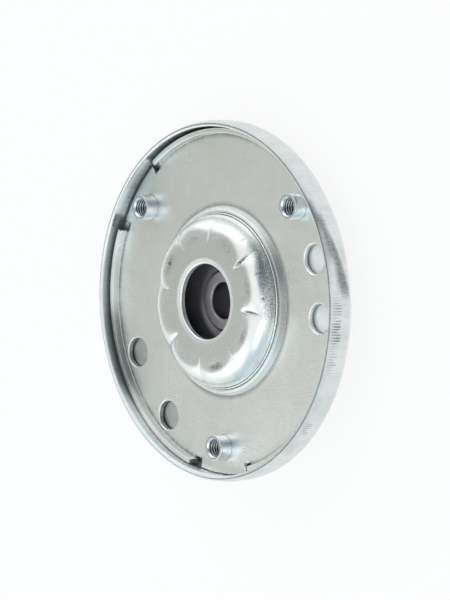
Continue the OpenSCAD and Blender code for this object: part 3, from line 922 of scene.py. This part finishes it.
def inner_sleeve():
    """Outline of the sleeve turned about the axis: a tube with chamfered ends and a flange.

    Painted shade darkens its bore and everything from its outer chamfer outward, at the seam with the rubber.
    """
    c = SLEEVE_CHAMFER
    profile = outline([
        (SLEEVE_BORE, SLEEVE_FOOT + c, 0.1), (SLEEVE_BORE + c, SLEEVE_FOOT, 0.1),
        (SLEEVE_R - c, SLEEVE_FOOT, 0.1), (SLEEVE_R, SLEEVE_FOOT + c, 0.1), (SLEEVE_R, FLANGE_Z, 0.1),
        (FLANGE_R, FLANGE_Z, 0.2), (FLANGE_R, FLANGE_Z + FLANGE_T, 0.2), (SLEEVE_R, FLANGE_Z + FLANGE_T, 0.1),
        (SLEEVE_R, SLEEVE_Z - c, 0.1), (SLEEVE_R - c, SLEEVE_Z, 0.15), (SLEEVE_BORE + c, SLEEVE_Z, 0.15),
        (SLEEVE_BORE, SLEEVE_Z - c, 0.15)], 0.6)
    r, z = profile.T
    grid = turned(r, z, even_turn(BUSH_COLUMNS))
    painted_bore_and_seam_shade = smooth(SLEEVE_BORE + 0.3, SLEEVE_BORE, r) + smooth(SLEEVE_R - 0.8, SLEEVE_R - 0.5, r)
    return piece("rod_sleeve", grid, [ring_faces(*grid.shape[:2])], "inner_sleeve", STEEL,
                 {"wear_or_painted_light": np.tile(painted_bore_and_seam_shade, (BUSH_COLUMNS, 1))})


def weigh_normals(obj):
    """Lets the large faces set the shading beside a rounded edge, so that flat sheet looks flat."""
    weighted = obj.modifiers.new("flat_faces_lead", "WEIGHTED_NORMAL")
    weighted.mode = "FACE_AREA"
    weighted.weight = 50
    weighted.keep_sharp = False


for made in (rear_pan(), front_plate(), threaded_bosses(), rubber_bush(), inner_sleeve()):
    weigh_normals(made)
crimped_can()


# Stage: white floor that keeps the shadow, three soft boxes, and a pale room with soft darker spots

FLOOR_REACH = 40
FLOOR_GAP = 0.05
PLAIN_WHITE = 0.84

# Azimuth and elevation of a spot, the angles from there at which it begins and is full, and its tint
ROOM_SPOTS = [
    (164, 37, 30, 9, "#a6a8a3"),
    (42, 13, 34, 10, "#36525e"),
    (26, 42, 28, 10, "#7796a8"),
    (282, 8, 50, 15, "#b4cfdf")]

# Name, azimuth and elevation, then distance, width and height in metres, brightness and tint
SOFT_BOXES = [
    ("top_box", 114, 35, 1.1, 1.4, 0.5, 1.1, "#f2f1ff"),
    ("low_box", 228, 45, 0.6, 0.42, 0.3, 0.7, "#e4f3ff"),
    ("side_box", 318, 42, 1.1, 0.9, 0.5, 1.15, "#eaf6ff")]


def floor_paint():
    """White paper: matt, and mostly plain white to camera, glossy and transmission rays.

    The matt share that those rays still see keeps the shadow.
    """
    made, tree, out = blank_material("white_paper_floor")
    rays = add(tree, "ShaderNodeLightPath").outputs
    seen = add(tree, "ShaderNodeMath", {0: rays["Is Camera Ray"], 1: rays["Is Glossy Ray"]}, operation="ADD")
    seen = add(tree, "ShaderNodeMath", {0: seen.outputs[0], 1: rays["Is Transmission Ray"]}, operation="ADD")
    share = add(tree, "ShaderNodeMath", {0: seen.outputs[0], 1: PLAIN_WHITE}, operation="MULTIPLY",
                use_clamp=True)
    matt = add(tree, "ShaderNodeBsdfDiffuse", {"Color": linear("#f4f5f5")})
    white = add(tree, "ShaderNodeEmission", {"Color": (1, 1, 1, 1), "Strength": 1.0})
    both = add(tree, "ShaderNodeMixShader", {0: share.outputs[0], 1: matt.outputs[0], 2: white.outputs[0]})
    tree.links.new(both.outputs[0], out.inputs["Surface"])
    return made


def floor():
    """Level square of paper just under the part, clear of its base."""
    mesh = bpy.data.meshes.new("paper_floor")
    square = [(-1, -1), (1, -1), (1, 1), (-1, 1)]
    corners = [(x * FLOOR_REACH, y * FLOOR_REACH, -FLOOR_GAP * MM) for x, y in square]
    mesh.from_pydata(corners, [], [(0, 1, 2, 3)])
    mesh.materials.append(floor_paint())
    obj = bpy.data.objects.new("paper_floor", mesh)
    bpy.context.scene.collection.objects.link(obj)


def away_from(azimuth, elevation):
    """Direction from the part, with azimuth 0 along +X and 90 along +Y."""
    a, e = math.radians(azimuth), math.radians(elevation)
    return math.cos(a) * math.cos(e), math.sin(a) * math.cos(e), math.sin(e)


def soft_box(name, azimuth, elevation, distance, width, height, brightness, colour):
    """Area lamp that faces the part from a direction in degrees; brightness 1 shows as white in a mirror."""
    lamp = bpy.data.lights.new(name, "AREA")
    lamp.shape = "RECTANGLE"
    lamp.size, lamp.size_y = width, height
    lamp.energy = brightness * width * height * math.pi
    lamp.color = linear(colour)[:3]
    obj = bpy.data.objects.new(name, lamp)
    away = Vector(away_from(azimuth, elevation))
    obj.location = away * distance
    obj.rotation_mode = "QUATERNION"
    obj.rotation_quaternion = away.to_track_quat("Z", "Y")
    bpy.context.scene.collection.objects.link(obj)


def room(horizon, overhead):
    """World light: one tint at the horizon and another overhead, with soft round spots of other tints."""
    world = bpy.data.worlds.new("studio_room")
    bpy.context.scene.world = world
    world.use_nodes = True
    tree = world.node_tree
    tree.nodes.clear()
    place = add(tree, "ShaderNodeTexCoord").outputs["Generated"]
    up = add(tree, "ShaderNodeSeparateXYZ", {"Vector": place}).outputs["Z"]
    tint = add(tree, "ShaderNodeValToRGB", {"Fac": up})
    low, high = tint.color_ramp.elements
    low.position, high.position = 0.1, 0.5
    low.color, high.color = linear(horizon), linear(overhead)
    colour = tint.outputs["Color"]
    for azimuth, elevation, begins, full, shade in ROOM_SPOTS:
        near = add(tree, "ShaderNodeVectorMath", {0: place, 1: away_from(azimuth, elevation)},
                   operation="DOT_PRODUCT")
        share = add(tree, "ShaderNodeMapRange", {
            "Value": near.outputs["Value"], "From Min": math.cos(math.radians(begins)),
            "From Max": math.cos(math.radians(full))}, interpolation_type="SMOOTHSTEP")
        mixed = add(tree, "ShaderNodeMix", {"Factor": share.outputs[0], 6: colour, 7: linear(shade)},
                    data_type="RGBA")
        colour = mixed.outputs[2]
    light = add(tree, "ShaderNodeBackground", {"Color": colour, "Strength": 1.0})
    out = add(tree, "ShaderNodeOutputWorld")
    tree.links.new(light.outputs[0], out.inputs["Surface"])


floor()
room("#f0f6f9", "#fafcfc")
for box in SOFT_BOXES:
    soft_box(*box)


# Camera: the photograph looks at the mount from about 50 degrees off its axis, with its +Y side up and a
# little rolled

AIM_Z = 20.3


def camera(tilt, roll, distance, lens, right_mm, up_mm):
    """Camera on the ray at tilt from the axis, aimed at a point on the axis and then slid sideways and up."""
    t, k = math.radians(tilt), math.radians(roll)
    back = Vector((math.sin(t), 0, math.cos(t)))
    level, upward = Vector((math.cos(t), 0, -math.sin(t))), Vector((0, 1, 0))
    right = level * math.cos(k) - upward * math.sin(k)
    up = level * math.sin(k) + upward * math.cos(k)
    data = bpy.data.cameras.new("photo_camera")
    data.lens, data.sensor_width, data.sensor_fit = lens, 36, "AUTO"
    data.clip_start, data.clip_end = 0.05, 100
    obj = bpy.data.objects.new("photo_camera", data)
    place = Vector((0, 0, AIM_Z * MM)) + back * distance + right * right_mm * MM + up * up_mm * MM
    obj.matrix_world = Matrix.Translation(place) @ Matrix((right, up, back)).transposed().to_4x4()
    bpy.context.scene.collection.objects.link(obj)
    bpy.context.scene.camera = obj


camera(tilt=49.6, roll=2.9, distance=1.5, lens=223.4, right_mm=4.75, up_mm=0.5)
bpy.context.scene.view_settings.view_transform = "Standard"
